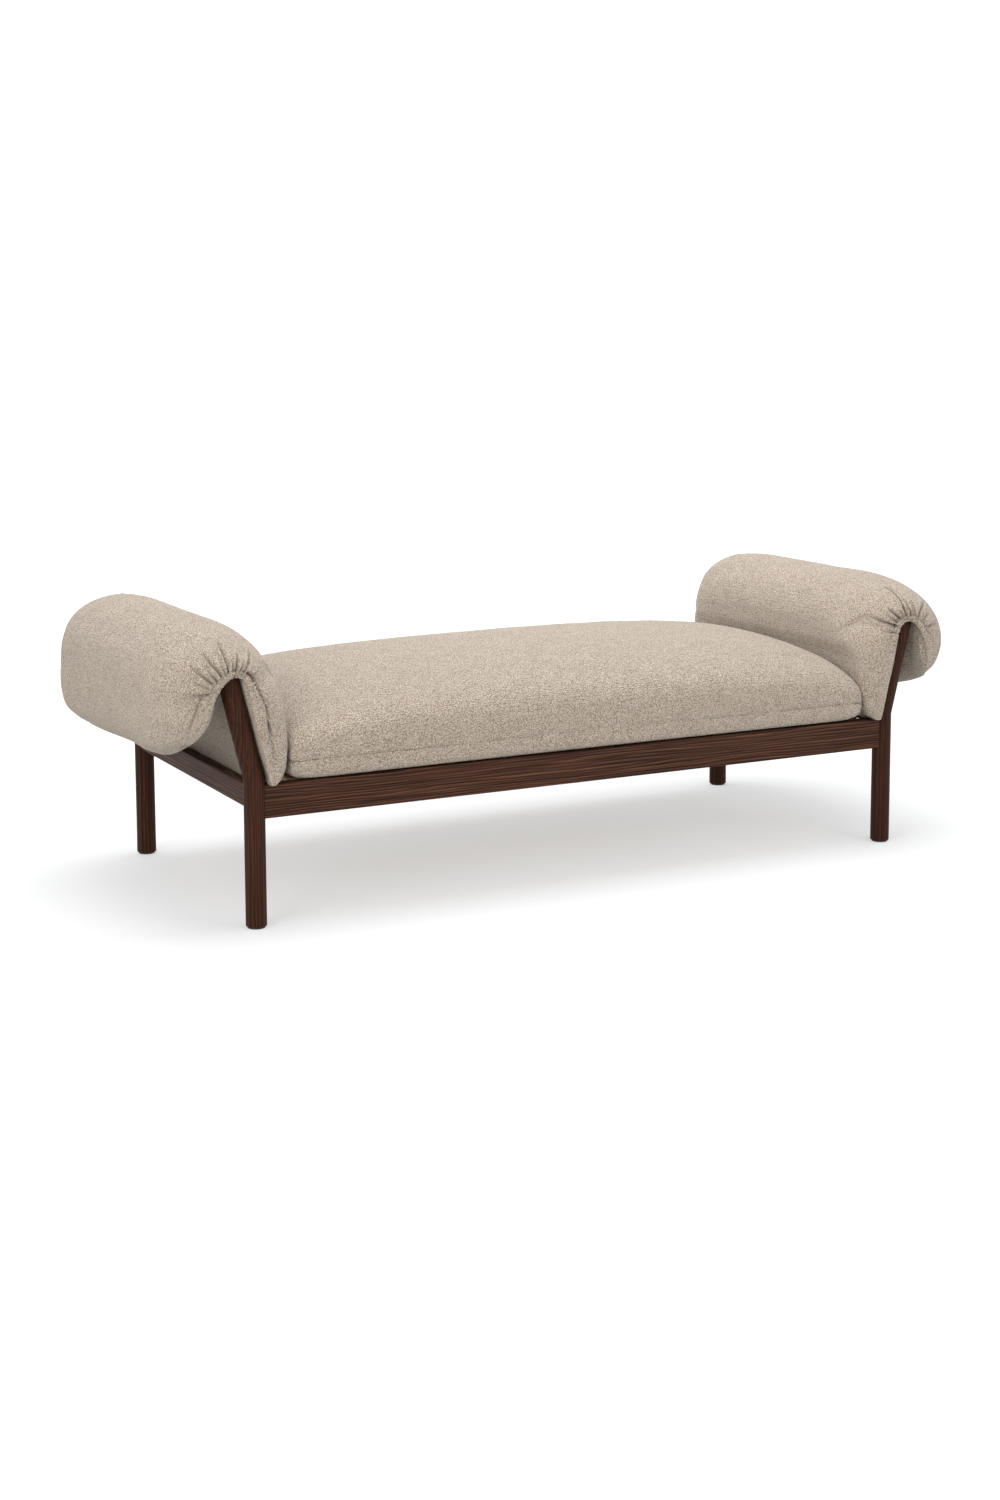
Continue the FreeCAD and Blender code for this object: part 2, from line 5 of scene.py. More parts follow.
import bmesh
import bpy
import numpy as np
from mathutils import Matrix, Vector


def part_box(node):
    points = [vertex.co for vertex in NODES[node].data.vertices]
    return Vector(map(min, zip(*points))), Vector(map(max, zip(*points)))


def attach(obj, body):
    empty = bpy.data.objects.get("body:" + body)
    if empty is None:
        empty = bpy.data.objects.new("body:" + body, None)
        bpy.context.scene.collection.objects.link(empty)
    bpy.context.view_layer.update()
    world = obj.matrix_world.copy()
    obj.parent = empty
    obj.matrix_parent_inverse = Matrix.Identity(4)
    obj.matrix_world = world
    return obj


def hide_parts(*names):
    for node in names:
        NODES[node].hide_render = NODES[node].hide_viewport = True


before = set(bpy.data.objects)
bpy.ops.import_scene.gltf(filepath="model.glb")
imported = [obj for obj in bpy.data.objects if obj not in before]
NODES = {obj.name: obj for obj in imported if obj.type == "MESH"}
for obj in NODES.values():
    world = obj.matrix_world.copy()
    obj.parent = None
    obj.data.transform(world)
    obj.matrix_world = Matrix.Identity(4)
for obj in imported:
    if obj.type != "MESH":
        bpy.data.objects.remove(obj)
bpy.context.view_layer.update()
SCENE = bpy.context.scene
MM = 0.001

# ---- places read from the frame, in metres ----

LEG_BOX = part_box("leg_back_right")
LEG_X = (LEG_BOX[0].x + LEG_BOX[1].x) / 2
SEAT_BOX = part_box("seat_cover")
ZIP_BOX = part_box("seat_zip")
ZIP_MIDDLE = (ZIP_BOX[0].z + ZIP_BOX[1].z) / 2
ZIP_BACK = ZIP_BOX[0].y  # the side of the tape that lies on the cushion
ZIP_FACE = ZIP_BOX[1].y

# ---- filling by simulation ----

AIR_PRESSURE = 4.0
CLOTH_MASS = 0.3
CLOTH_STIFFNESS = 25
BEND_STIFFNESS = 0.6
FILL_FRAMES = 20

# ---- seat cushion ----

SEAT_SEAM = 0.352  # height of the seam between the crowned top and the base panel
SEAT_SPREAD = 0.007  # how far the seam stands out past the cover's box at the front and back
SEAT_FINE = (128, 72)  # mesh lines from the middle to an end and to a side
SEAT_COARSE = (60, 34)  # the same for the simulation
SEAT_FILL = 0.005  # the most that filling moves a point
SEAT_CROWD = 1.45  # how much closer the lines stand near the seam
SEAT_CORNER = 0.014  # plan radius at the seam
SEAT_PULL = 0.007  # how far a side pulls in between its corners
TOP_ACROSS = (2.0, 4.0)  # exponents of the crown's cross section
TOP_ALONG = (3.0, 6.0)
BASE_SHAPE = (30.0, 5.0)
SEAT_SLOPE = 0.8  # how much less full the crown's cross section is at the ends
SEAT_SAG = 0.03  # share of height lost towards the ends
SEAT_LEAN = 0.055  # and towards the left end, where the filling is a little thinner
GROOVE = (0.0034, 0.0017, 0.0009)  # seam: width, depth and unevenness of the depth
GROOVE_WAVE = (0.12, 6)  # wavelength and seed of that unevenness
PUCKER = (0.014, 0.0014)  # small bulges along the seam: reach and height
PUCKER_WAVE = (0.026, 5)
SOFT_WAVES = ((0.42, 0.0013, 3), (0.11, 0.0006, 4))  # wavelength, height and seed of the soft unevenness
BASE_CALM = 0.02  # height above the base over which all this sets in

# ---- zip ----

TAPE_STEPS = 241
TAPE_STITCH = (0.0042, 0.00025)  # spacing and depth of the ripple at the sewn edges
TOOTH_PITCH = 0.0030
TOOTH_LONG, TOOTH_TALL, TOOTH_DEEP = 0.0019, 0.0032, 0.0014
TOOTH_OFFSET = 0.0006  # the two rows stand this far from the middle line
TOOTH_TAPER = 0.72
TOOTH_RING = ((-0.5, -0.5), (0.5, -0.5), (0.5, 0.3), (0.25, 0.5), (-0.25, 0.5), (-0.5, 0.3))
ZIP_BARE = (0.005, 0.008)  # tape without teeth: before the first tooth, and in all
ZIP_ROOM = (0.02, 0.012)  # how far past the zip's ends and lower edge the cushion is still pressed in
ZIP_BELOW = (0.003, 0.006)  # how far under the seam that stops, and its fade

# ---- bolsters: cross section stations, in millimetres, from the flap's hem over the bar to the lobe ----
# Each row: outer skin, slot wall and end hem as (out from the leg axis, height), then how far along Y the
# skin stays full, the two exponents of its rounded end, and where the hem stands along Y.

STATIONS = [
    (-32, 306, -32, 306, -32, 308, 330, 3.0, 6.0, 394),
    (-46, 309, -28, 307, -27, 309, 330, 3.0, 6.0, 396),
    (-65, 331, -22, 332, -21, 331, 330, 3.0, 6.0, 397),
    (-74, 380, -7, 388, -8, 388, 330, 3.0, 6.0, 397),
    (-74, 440, 7, 445, 6, 442, 320, 3.0, 5.5, 397),
    (-73, 495, 21, 500, 15, 489, 290, 2.5, 4.0, 397),
    (-67, 545, 33, 547, 21, 518, 220, 1.8, 2.8, 397),
    (-46, 592, 40, 570, 31, 535, 155, 1.6, 3.2, 397),
    (-8, 622, 48, 577, 44, 541, 140, 1.8, 3.2, 397),
    (40, 638, 58, 578, 56, 540, 140, 1.8, 3.2, 397),
    (92, 637, 70, 578, 67, 534, 140, 1.8, 3.2, 397),
    (142, 620, 81, 575, 78, 524, 140, 1.8, 3.2, 397),
    (180, 586, 88, 562, 88, 509, 195, 1.8, 2.8, 397),
    (196, 534, 89, 530, 98, 491, 275, 2.0, 2.2, 397),
    (199, 478, 90, 492, 106, 468, 300, 2.0, 2.0, 396),
    (200, 427, 94, 450, 113, 445, 275, 1.8, 1.8, 390),
    (191, 385, 103, 410, 121, 423, 232, 1.8, 1.3, 378),
    (168, 360, 117, 378, 130, 409, 165, 1.8, 1.2, 364),
    (154, 350, 131, 358, 139, 400, 140, 1.8, 1.2, 348),
    (143, 347, 143, 347, 148, 393, 120, 1.8, 1.2, 334),
]
CROWD = ((0, 0), (0.14, 4.2), (0.82, 12.6), (1, 19))  # share of the rows, station: most lie in the gathers
WALL_INSET = 0.0125  # from the hem back to the inner face of the end wall
END_SHARE = 0.4  # share of the columns that each rounded end gets
END_START = 0.150  # where those columns begin
END_CROWD = 1.35  # how much closer they stand near the hem
WALL_SHARE = 0.07  # share of the columns that each end wall gets
FAR_FLAT = ((0, 0.65), (6, 0.5), (10, 0.36), (13, 0.5), (15, 0.92), (19, 0.92))  # station, how much longer
FAR_LIMIT = (0.345, 0.015)  # where it stops being full at the latest: along Y, and this far from the hem
BLUNT = (1.5, 4.0)  # the far end is blunter: scale and addition to the second exponent
FAR_SAG = (0.011, -0.05, 0.3)  # lower hang of the lobe at the far end: depth, start along Y, fade
FOOT = (0.012, -0.005)  # between the posts the flap's hem rests against the end rail
FOOT_REACH = (0.325, 0.06)  # where that stops along Y, and over what length it fades
FOOT_STATIONS = (2.6, 1.8)  # the same in stations
CLOSED = 1.2  # over this many stations the slot wall and the skin part at both hems of the section
LOBE = (13.5, 2.5)  # station where the hanging part of the lobe starts, and over how many it grows
BOLSTER_FINE = (268, 184)  # rows and columns of the mesh
BOLSTER_COARSE = (92, 84)  # the same for the simulation
BOLSTER_FILL = 0.006
BAND = 0.018  # depth of the elastic casing at the hem
BAND_WIDER = 0.012  # how much deeper it is past the ends of the arch
ARCH = (4.2, 14, 2)  # first and last station of the gathered arch of the hem, and the fade
STITCH = (0.0026, 0.0046)  # width and depth of the line that closes the casing
RIPPLE_PITCHES = (0.0075, 0.011, 0.0165)  # spacings of the small pleats in the casing
RIPPLE = (0.0034, 0.0017)  # their height on the casing and just above it
BELT = 0.0012  # how far the casing stands out
PUFF = (0.012, 0.011)  # distance above the casing and width of the fullness there
PAD_WAVES = ((0.3, 0.0016, 2), (0.09, 0.0006, 3))  # wavelength, height and added seed
PAD_FADE = (0.04, 1.5)  # how that fades at the hems: share of the columns, stations
CREASE = 1.9  # overall strength of the creases
SEAT_REACH = 0.49  # up to this height the flap is pressed flat by the end of the seat
SEAT_FADE = 0.04
SEAT_GAP = 0.0012  # clearance left there

# Creases at a gathered end, in millimetres: a path of (station, distance from the hem), depth and width.
CREASES_A = [
    ([(9.7, 20), (9.69, 75), (9.46, 125)], 6.0, 4.0),
    ([(10.5, 20), (10.7, 53), (10.71, 90)], 6.0, 4.0),
    ([(11.6, 24), (11.68, 54), (11.72, 84)], 5.5, 4.0),
    ([(8.83, 18), (8.76, 60)], 6.0, 3.8),
    ([(7.84, 19), (7.86, 85)], 5.5, 3.8),
    ([(12.5, 20), (13.0, 44), (13.42, 70)], 5.0, 4.0),
    ([(12.1, 24), (12.34, 58)], 4.0, 3.6),
    ([(8.3, 18), (8.25, 40)], 3.0, 3.4),
    ([(9.25, 18), (9.2, 44)], 3.5, 3.4),
    ([(10.1, 19), (10.2, 42)], 3.0, 3.4),
    ([(11.1, 20), (11.2, 48)], 3.5, 3.4),
    ([(6.9, 18), (6.8, 42)], 3.5, 3.4),
    ([(12.7, 26), (13.2, 31), (13.94, 31), (14.9, 34), (15.8, 44)], 5.0, 3.8),
    ([(16.1, 120), (15.0, 138)], 2.0, 6.0),
    ([(7.4, 20), (6.6, 19), (5.8, 19), (4.7, 30), (4.1, 28), (3.6, 25)], 6.5, 3.6),
    ([(4.0, 27), (3.6, 23), (3.0, 8)], 4.5, 3.2),
    ([(4.0, 27), (3.5, 26), (3.0, 22), (2.3, 21)], 5.0, 3.4),
]
CREASES_B = [
    ([(6.5, 14), (6.45, 46), (6.5, 86)], 6.0, 4.0),
    ([(7.45, 17), (7.56, 60)], 7.5, 3.8),
    ([(8.4, 19), (8.8, 56), (8.95, 100), (9.09, 145)], 9.5, 4.2),
    ([(9.0, 19), (9.04, 54), (9.13, 95)], 8.0, 3.8),
    ([(9.85, 20), (9.73, 58)], 5.0, 3.6),
    ([(10.3, 22), (11.1, 82)], 6.0, 3.8),
    ([(7.0, 16), (6.95, 42)], 3.5, 3.4),
    ([(8.0, 18), (8.05, 40)], 3.5, 3.4),
    ([(9.4, 19), (9.45, 44)], 3.0, 3.4),
    ([(11.2, 24), (11.6, 62)], 4.0, 3.8),
    ([(12.1, 26), (12.7, 62)], 3.5, 4.0),
    ([(5.8, 16), (5.75, 44)], 3.0, 3.6),
]


# ---- mesh helpers ----


def through(rows, at):
    """Rows blended smoothly at fractional row numbers."""
    rows = np.asarray(rows, float)
    low = np.clip(np.floor(at).astype(int), 0, len(rows) - 2)
    part = (at - low)[:, None]
    wide = np.vstack([2 * rows[0] - rows[1], rows, 2 * rows[-1] - rows[-2]])
    a, b, c, d = (wide[low + step] for step in range(4))
    curve = (2 * a - 5 * b + 4 * c - d) * part**2 + (3 * b - a - 3 * c + d) * part**3
    return 0.5 * (2 * b + (c - a) * part + curve)


def eased(value):
    """0 to 1 with a soft start and end."""
    value = np.clip(value, 0, 1)
    return value * value * (3 - 2 * value)


def grid_normals(points):
    """Unit normals of a grid of points."""
    normal = np.cross(np.gradient(points, axis=0), np.gradient(points, axis=1))
    length = np.linalg.norm(normal, axis=2, keepdims=True)
    return normal / np.maximum(length, 1e-12)


def grid_faces(index, flip=False):
    """Quads of a grid of vertex numbers."""
    quads = np.stack([index[:-1, :-1], index[1:, :-1], index[1:, 1:], index[:-1, 1:]], axis=-1)
    quads = quads.reshape(-1, 4)
    return quads[:, ::-1] if flip else quads


def mesh_piece(name, points, faces):
    """A smooth-shaded mesh object."""
    mesh = bpy.data.meshes.new(name)
    mesh.from_pydata([tuple(p) for p in points], [], [list(map(int, f)) for f in faces])
    mesh.validate()
    mesh.update()
    mesh.polygons.foreach_set("use_smooth", [True] * len(mesh.polygons))
    piece = bpy.data.objects.new(name, mesh)
    SCENE.collection.objects.link(piece)
    return piece


def two_sheets(front, back):
    """Vertices and faces of a closed skin made of two grids that share their border."""
    rows, columns = front.shape[:2]
    index = np.arange(rows * columns).reshape(rows, columns)
    back_index = index.copy()
    inner = (rows - 2) * (columns - 2)
    back_index[1:-1, 1:-1] = rows * columns + np.arange(inner).reshape(rows - 2, columns - 2)
    points = np.vstack([front.reshape(-1, 3), back[1:-1, 1:-1].reshape(-1, 3)])
    faces = np.vstack([grid_faces(index), grid_faces(back_index, flip=True)])
    return points, faces, index, back_index


def inflated(points, faces, cap, pinned=None):
    """How far each point of a skin moves when cloth simulation fills it with air, at most the cap."""
    piece = mesh_piece("inflating", points, faces)
    cloth = piece.modifiers.new("air", "CLOTH")
    settings = cloth.settings
    settings.quality = 5
    settings.mass = CLOTH_MASS
    settings.use_pressure = True
    settings.uniform_pressure_force = AIR_PRESSURE
    settings.effector_weights.gravity = 0
    settings.tension_stiffness = CLOTH_STIFFNESS
    settings.compression_stiffness = CLOTH_STIFFNESS
    settings.bending_stiffness = BEND_STIFFNESS
    cloth.collision_settings.use_collision = False
    if pinned is not None:
        group = piece.vertex_groups.new(name="pinned")
        group.add([int(i) for i in pinned], 1.0, "ADD")
        settings.vertex_group_mass = "pinned"
    for number in range(1, FILL_FRAMES + 1):
        SCENE.frame_set(number)
    shown = piece.evaluated_get(bpy.context.evaluated_depsgraph_get())
    moved = np.empty(len(points) * 3)
    shown.data.vertices.foreach_get("co", moved)
    shift = moved.reshape(-1, 3) - points
    SCENE.frame_set(1)
    mesh = piece.data
    bpy.data.objects.remove(piece)
    bpy.data.meshes.remove(mesh)
    length = np.linalg.norm(shift, axis=1, keepdims=True)
    soft = cap * np.tanh(length / cap)
    return shift * soft / np.maximum(length, 1e-12)


def spaced(across, up, count, crowd):
    """Arc length at each point of a curve, and at a count of places that crowd towards its end."""
    run = np.concatenate([[0], np.cumsum(np.hypot(np.diff(across), np.diff(up)))])
    return run, run[-1] * (1 - (1 - np.linspace(0, 1, count)) ** crowd)


def resampled(grid, rows, columns):
    """A grid of vectors stretched to another number of rows and columns."""
    old_rows = np.linspace(0, 1, grid.shape[0])
    old_columns = np.linspace(0, 1, grid.shape[1])
    tall = np.empty((rows, grid.shape[1], grid.shape[2]))
    wide = np.empty((rows, columns, grid.shape[2]))
    for axis in range(grid.shape[2]):
        for j in range(grid.shape[1]):
            tall[:, j, axis] = np.interp(np.linspace(0, 1, rows), old_rows, grid[:, j, axis])
        for i in range(rows):
            wide[i, :, axis] = np.interp(np.linspace(0, 1, columns), old_columns, tall[i, :, axis])
    return wide


def waves(points, size, seed, octaves=2):
    """Smooth seeded unevenness between about -1 and 1 at each point."""
    rng = np.random.default_rng(seed)
    total = np.zeros(points.shape[:-1])
    for octave in range(octaves):
        for _ in range(6):
            direction = rng.normal(size=3)
            direction /= np.linalg.norm(direction)
            phase = rng.uniform(0, 2 * math.pi)
            rate = 2 * math.pi / (size / 2**octave) * rng.uniform(0.7, 1.3)
            total += np.sin(points @ direction * rate + phase) / 6 / 2**octave
    return total


# ---- seat cushion ----


def half_profile(half, height, shape, count):
    """Positions from the middle to the edge along a crowned profile, closer together towards the edge."""
    power, root = shape
    dense = 1 - (1 - np.linspace(0, 1, 6000)) ** 3
    rise = height * (1 - dense**power) ** (1 / root)
    run, wanted = spaced(dense * half, rise, count, SEAT_CROWD)
    return np.interp(wanted, run, dense)


def whole_profile(half, height, shape, count):
    """The same from edge to edge, from -1 to 1."""
    side = half_profile(half, height, shape, count)
    return np.concatenate([-side[:0:-1], side])


def rounded_plan(x, y, half_x, half_y):
    """Moves points of a rectangle so that its corners are round and its sides pull in slightly."""
    corner = SEAT_CORNER
    share = np.maximum(np.maximum(np.abs(x), np.abs(y)), 1e-9)
    edge_x, edge_y = x / share * half_x, y / share * half_y
    over_x = np.abs(edge_x) - (half_x - corner)
    over_y = np.abs(edge_y) - (half_y - corner)
    in_corner = (over_x > 0) & (over_y > 0)
    length = np.maximum(np.hypot(over_x, over_y), 1e-9)
    trim_x = np.where(in_corner, np.sign(edge_x) * (half_x - corner + corner * over_x / length), edge_x)
    trim_y = np.where(in_corner, np.sign(edge_y) * (half_y - corner + corner * over_y / length), edge_y)
    pull_x = SEAT_PULL * np.cos(y / share * math.pi / 2) * (np.abs(x) >= np.abs(y))
    pull_y = SEAT_PULL * np.cos(x / share * math.pi / 2) ** 0.5 * (np.abs(y) > np.abs(x))
    trim_x = trim_x - np.sign(trim_x) * pull_x
    trim_y = trim_y - np.sign(trim_y) * pull_y
    return share * trim_x, share * trim_y


def seat_sheets(count_x, count_y):
    """The crowned top and the flat base of the seat cushion as two grids with one border, the seam."""
    half_x = SEAT_BOX[1].x
    half_y = SEAT_BOX[1].y + SEAT_SPREAD
    sheets = []
    for height, along, across in (
        (SEAT_BOX[1].z - SEAT_SEAM, TOP_ALONG, TOP_ACROSS),
        (SEAT_BOX[0].z - SEAT_SEAM, BASE_SHAPE, BASE_SHAPE),
    ):
        share_x = whole_profile(half_x, abs(height), along, count_x)
        share_y = whole_profile(half_y, abs(height), across, count_y)
        x, y = np.meshgrid(share_x, share_y, indexing="ij")
        crown = (1 - np.abs(x) ** along[0]).clip(0) ** (1 / along[1])
        crown *= (1 - np.abs(y) ** across[0]).clip(0) ** (1 / (across[1] - SEAT_SLOPE * np.abs(x) ** 3))
        crown *= 1 - (SEAT_SAG * x**2 + SEAT_LEAN * ((1 - x) / 2) ** 1.5) * (height > 0)
        plan_x, plan_y = rounded_plan(x, y, half_x, half_y)
        sheets.append(np.stack([plan_x, plan_y, SEAT_SEAM + height * crown], axis=-1))
    return sheets


def seam_shift(points):
    """How far each point of the seat moves outward: soft unevenness, puckers and the groove of the seam."""
    off_seam = points[:, 2] - SEAT_SEAM
    width, depth, uneven = GROOVE
    groove = np.exp(-(off_seam / width) ** 2) * (depth + uneven * waves(points, *GROOVE_WAVE))
    pucker = np.exp(-(off_seam / PUCKER[0]) ** 2) * waves(points, *PUCKER_WAVE) * PUCKER[1]
    soft = sum(waves(points, size, seed) * height for size, height, seed in SOFT_WAVES)
    above = eased((points[:, 2] - SEAT_BOX[0].z) / BASE_CALM)
    return (soft + pucker - groove) * above


def room_for_zip(points):
    """How strongly each point is pressed in behind the zip, from 0 to 1."""
    beside, under = ZIP_ROOM
    gap, fade = ZIP_BELOW
    along = eased((ZIP_BOX[1].x + beside - np.abs(points[:, 0])) / beside) * (points[:, 1] > 0)
    above = eased((points[:, 2] - ZIP_BOX[0].z + under) / under)
    below = eased((SEAT_SEAM - gap - points[:, 2]) / fade)
    return along * (above * below)


def seat_cushion():
    """The seat cushion, filled by simulation, with its seam."""
    top, base = seat_sheets(*SEAT_FINE)
    points, faces, top_index, base_index = two_sheets(*seat_sheets(*SEAT_COARSE))
    shift = inflated(points, faces, SEAT_FILL)
    top = top + resampled(shift[top_index], *top.shape[:2])
    base = base + resampled(shift[base_index], *base.shape[:2])
    points, faces, _, _ = two_sheets(top, base)
    piece = mesh_piece("seat_cushion", points, faces)
    normals = np.array([v.normal for v in piece.data.vertices])
    points = points + normals * seam_shift(points)[:, None]
    points[:, 2] = np.maximum(points[:, 2], SEAT_BOX[0].z)
    past_tape = np.maximum(points[:, 1] - ZIP_BACK - MM, 0)
    points[:, 1] -= past_tape * room_for_zip(points)
    points[:, 0] = np.clip(points[:, 0], SEAT_BOX[0].x, SEAT_BOX[1].x)
    piece.data.vertices.foreach_set("co", points.ravel())
    piece.data.update()
    return piece


# ---- zip ----


def zip_tape():
    """The two halves of the zip's tape, meeting at the teeth and sewn down along their outer edges."""
    x = np.linspace(ZIP_BOX[0].x, ZIP_BOX[1].x, TAPE_STEPS)
    half = (ZIP_BOX[1].z - ZIP_BOX[0].z) / 2
    pitch, depth = TAPE_STITCH
    upper = [
        (half, 0),
        (half, 0.9),
        (half * 0.9, 1.25),
        (half * 0.72, 0.8),
        (half * 0.45, 1.1),
        (0.0012, 0.9),
        (0, 0.3),
    ]
    section = upper + [(-z, y) for z, y in upper[-2::-1]]
    rows = []
    for z, y in section:
        wave = depth * np.sin(x / pitch * 2 * math.pi) * (abs(z) > half * 0.8)
        height = np.full(TAPE_STEPS, ZIP_MIDDLE + z)
        rows.append(np.stack([x, ZIP_BACK + (ZIP_FACE - ZIP_BACK) * y + wave, height], axis=-1))
    face = np.array(rows)
    rear = face.copy()
    rear[..., 1] = ZIP_BACK
    points, faces, _, _ = two_sheets(face, rear)
    return mesh_piece("zip_tape", points, faces)


def tooth(x, side):
    """Corners of one tooth, three rings, with its head across the middle line."""
    points = []
    for depth, size in ((-TOOTH_DEEP, 1.0), (TOOTH_DEEP * 0.5, 1.0), (TOOTH_DEEP, TOOTH_TAPER)):
        for a, b in TOOTH_RING:
            z = ZIP_MIDDLE - side * b * TOOTH_TALL * size + side * TOOTH_OFFSET
            points.append((x + a * TOOTH_LONG * size, ZIP_FACE + depth, z))
    return points


def zip_teeth():
    """Two rows of interlocking moulded teeth."""
    points, faces = [], []
    corners = len(TOOTH_RING)
    for i in range(int((ZIP_BOX[1].x - ZIP_BOX[0].x - ZIP_BARE[1]) / TOOTH_PITCH)):
        start = len(points)
        points += tooth(ZIP_BOX[0].x + ZIP_BARE[0] + i * TOOTH_PITCH, 1 if i % 2 else -1)
        for layer in (start, start + corners):
            for k in range(corners):
                a, b = layer + k, layer + (k + 1) % corners
                faces.append((a, b, b + corners, a + corners))
        faces.append(tuple(range(start, start + corners))[::-1])
        faces.append(tuple(range(start + 2 * corners, start + 3 * corners)))
    piece = mesh_piece("zip_teeth", points, faces)
    shape = bmesh.new()
    shape.from_mesh(piece.data)
    bmesh.ops.recalc_face_normals(shape, faces=shape.faces)
    shape.to_mesh(piece.data)
    shape.free()
    piece.data.polygons.foreach_set("use_smooth", [False] * len(piece.data.polygons))
    return piece


# ---- bolsters ----


def fullness(along, flat, power, root, hem):
    """How full the skin is at a distance along Y: 1 in the middle, 0 at the hem."""
    out = np.clip((np.abs(along) - flat) / (hem - flat), 0, 1)
    return (1 - out**power) ** (1 / root)


def rounded_end(flat, power, root, hem, height, count):
    """Positions along Y and fullness of the skin from END_START to the hem, evenly spaced on the curve."""
    along = END_START + (hem - END_START) * (1 - (1 - np.linspace(0, 1, 3000)) ** 8)
    full = fullness(along, flat, power, root, hem)
    run, wanted = spaced(along, full * height, count, END_CROWD)
    return np.interp(wanted, run, along), np.interp(wanted, run, full)


def row_stations(rows):
    """The station of each mesh row."""
    share, mark = zip(*CROWD)
    station = np.interp(np.linspace(0, 1, rows), share, mark)
    reach = 8
    wide = np.pad(station, reach, mode="reflect", reflect_type="odd")
    window = 2 * reach + 1
    return np.convolve(wide, np.full(window, 1 / window), "valid")


def row_ends(station, row):
    """Where the skin stops being full and how blunt it is at the near and the far end of a row."""
    flat, root, hem_y = row[6] * MM, row[8], row[9] * MM
    reach, off_hem = FAR_LIMIT
    longer = np.interp(station, *zip(*FAR_FLAT))
    far_flat = flat + longer * (min(reach, hem_y - off_hem) - flat)
    return {-1: (flat, root), 1: (far_flat, root * BLUNT[0] + BLUNT[1])}


def bolster_sheets(rows, columns):
    """Outer skin and slot wall of the right bolster as two grids with one border, the hems."""
    station = row_stations(rows)
    path = through(STATIONS, station)
    skin, wall, hem = (path[:, None, i : i + 2] * MM for i in (0, 2, 4))
    last = len(STATIONS) - 1
    closed = 1 - eased(np.minimum(station, last - station) / CLOSED)
    low = eased((station - LOBE[0]) / LOBE[1])
    count = int(columns * END_SHARE)
    back = int(columns * WALL_SHARE)
    turned = (np.arange(back) / back)[::-1]
    skin_y, full = np.empty((rows, columns)), np.ones((rows, columns))
    inner_y, inner_full = np.empty((rows, columns)), np.ones((rows, columns))
    skin_y[:, count:-count] = np.linspace(-END_START, END_START, columns - 2 * count + 2)[1:-1]
    for i in range(rows):
        power, hem_y = path[i, 7], path[i, 9] * MM
        height = np.linalg.norm(skin[i] - hem[i])
        ends = row_ends(station[i], path[i])
        wall_y = hem_y - WALL_INSET
        inner_y[i] = np.linspace(-wall_y, wall_y, columns)
        for end, (flat, root) in ends.items():
            place = slice(None, count) if end < 0 else slice(None, -count - 1, -1)
            along, rise = rounded_end(flat, power, root, hem_y, height, count)
            skin_y[i, place], full[i, place] = end * along[::-1], rise[::-1]
            edge = slice(None, back) if end < 0 else slice(None, -back - 1, -1)
            inner_y[i, edge] = end * (wall_y + WALL_INSET * turned**2.5)
            inner_full[i, edge] = eased(1 - turned)
        inner_y[i] += (skin_y[i] - inner_y[i]) * closed[i]
        for end, (flat, root) in ends.items():
            follow = np.where(inner_y[i] * end > 0, fullness(inner_y[i], flat, power, root, hem_y), 1)
            inner_full[i] = np.minimum(inner_full[i], 1 + (follow - 1) * low[i])
    reach, fade = FOOT_REACH
    drop, start, run = FAR_SAG
    on_rail = eased((FOOT_STATIONS[0] - station) / FOOT_STATIONS[1])[:, None]
    sheets = []
    for edge, share, along in ((skin, full, skin_y), (wall, inner_full, inner_y)):
        section = hem + (edge - hem) * share[..., None]
        foot = on_rail * eased((reach - np.abs(along)) / fade)
        out = section[..., 0] + FOOT[0] * foot
        up = section[..., 1] + FOOT[1] * foot
        up = up - drop * low[:, None] * eased((along - start) / run)
        sheets.append(np.stack([LEG_X + out, along, up], axis=-1))
    return *sheets, station


def crease_depth(station, spacing, distance, crease):
    """How deep one crease cuts at each point, from its path in station and distance from the hem."""
    path, depth, width = crease
    steps = 40
    marks = through(path, np.linspace(0, len(path) - 1, steps))
    nearest = np.full(distance.shape, np.inf)
    share = np.zeros(distance.shape)
    for i, (row, away) in enumerate(marks):
        gap = ((station - row) * spacing) ** 2 + (distance - away * MM) ** 2
        closer = gap < nearest
        nearest = np.where(closer, gap, nearest)
        share = np.where(closer, i / (steps - 1), share)
    gap = np.sqrt(nearest) / MM
    fade = np.clip(1 - share, 0, 1) ** 0.45
    narrow = width * (0.75 + 0.45 * share)
    valley = 1 / (1 + (gap / (narrow * 0.52)) ** 2) ** 1.5
    ridge = np.exp(-((gap - 2.0 * narrow) / (1.2 * narrow)) ** 2)
    return CREASE * depth * MM * fade * (valley - 0.3 * ridge)


def pleats(hem, seed):
    """Small seeded pleats along a hem, between -1 and 1."""
    run = np.concatenate([[0], np.cumsum(np.linalg.norm(np.diff(hem, axis=0), axis=1))])[:, None]
    rng = np.random.default_rng(seed)
    ripple = np.zeros(run.shape)
    for pitch in RIPPLE_PITCHES:
        ripple = ripple + np.sin(run / pitch * 2 * math.pi + rng.uniform(0, 6.28)) / len(RIPPLE_PITCHES)
    return ripple


